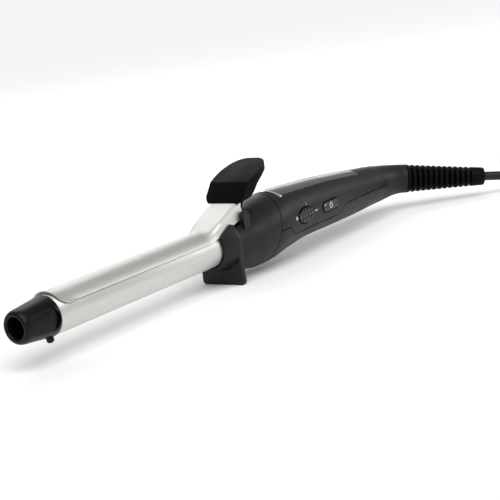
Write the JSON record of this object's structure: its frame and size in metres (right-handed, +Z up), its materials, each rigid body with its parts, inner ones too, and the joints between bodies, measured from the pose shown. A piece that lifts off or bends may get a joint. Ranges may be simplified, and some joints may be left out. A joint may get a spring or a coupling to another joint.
{
  "type": "curling iron",
  "caption": "Slim hair curling iron: a spring clamp on a heated metal barrel, a cool tip, a foot to lie on, a handle with side keys and a swivelling cord.",
  "frame": {"origin": "midway along the iron without its strain relief and cord, under the barrel's axis, on the surface it lies on", "axes": "+X from the cool tip towards the cord, +Z up through the thumb paddle, -Y towards the side with the keys"},
  "size_m": [0.5752, 0.0809, 0.0577],
  "materials": {
    "satin_metal": "fine lengthwise brushed, satin",
    "tip_black": "heat-proof satin black",
    "paddle_black": "fine-grained matte black",
    "soft_black": "soft-touch, very fine grain",
    "gloss_black": "piano gloss",
    "key_black": "satin",
    "chrome": "polished",
    "steel": "zinc plated",
    "aluminium": "extruded",
    "ceramic": "unglazed",
    "brass": "polished",
    "nylon": "moulded",
    "board_green": "lacquered",
    "relief_rubber": "matte moulded",
    "cord_sheath": "smooth, faint sheen",
    "wire_red": "silicone",
    "wire_blue": "silicone"
  },
  "bodies": {
    "handle": {"barrel_tube": "satin_metal", "heat_spreader_upper": "aluminium", "heat_spreader_lower": "aluminium", "heating_plate": "ceramic", "temperature_sensor": "brass", "barrel_insulator": "ceramic", "cool_tip": "tip_black", "tip_screw": "steel", "hinge_pin": "steel", "torsion_spring": "steel", "stand_collar": "soft_black", "nose_cone": "soft_black", "upper_shell": "soft_black", "lower_shell": "soft_black", "shell_screw_1": "steel", "shell_screw_2": "steel", "top_panel": "gloss_black", "chrome_arc": "chrome", "circuit_board": "board_green", "key_switch_1": "steel", "key_switch_2": "steel", "key_switch_3": "steel", "power_transistor": "gloss_black", "fuse": "ceramic", "tail_cap": "soft_black", "heater_lead_1": "wire_red", "heater_lead_2": "wire_blue", "supply_lead_1": "wire_red", "supply_lead_2": "wire_blue", "cord": "cord_sheath", "cord_hank": "cord_sheath", "cord_tie": "relief_rubber", "plug_body": "relief_rubber", "plug_blade_1": "brass", "plug_blade_2": "brass"},
    "clamp_lever": {"clamp": "satin_metal", "thumb_paddle": "paddle_black", "paddle_screw_1": "steel", "paddle_screw_2": "steel"},
    "rocker": {"temperature_rocker": "key_black"},
    "power_button": {"power_key": "key_black"},
    "swivel": {"strain_relief": "relief_rubber", "swivel_clip": "steel", "swivel_spindle": "nylon", "contact_ring_1": "brass", "contact_ring_2": "brass"}
  },
  "joints": [
    {"name": "clamp_hinge", "type": "hinge", "parent": "handle", "child": "clamp_lever", "pos_m": [-0.00346, 0.00018, 0.0329], "axis": [0, 1, 0], "range_deg": [0, 25], "stiffness_Nm_per_rad": 0.15, "springref_deg": -28.65},
    {"name": "rocker_tilt", "type": "hinge", "parent": "handle", "child": "rocker", "pos_m": [0.04254, -0.01382, 0.0226], "axis": [0, 0, 1], "range_deg": [-4, 4], "stiffness_Nm_per_rad": 0.05},
    {"name": "power_press", "type": "slide", "parent": "handle", "child": "power_button", "axis": [0, 1, 0], "range_m": [0, 0.0005], "stiffness_N_per_m": 600, "springref_m": -0.0005},
    {"name": "cord_swivel", "type": "hinge", "parent": "handle", "child": "swivel", "pos_m": [0.15434, -0.00882, 0.0177], "axis": [0.6966, -0.7051, -0.1326], "continuous": true}
  ]
}
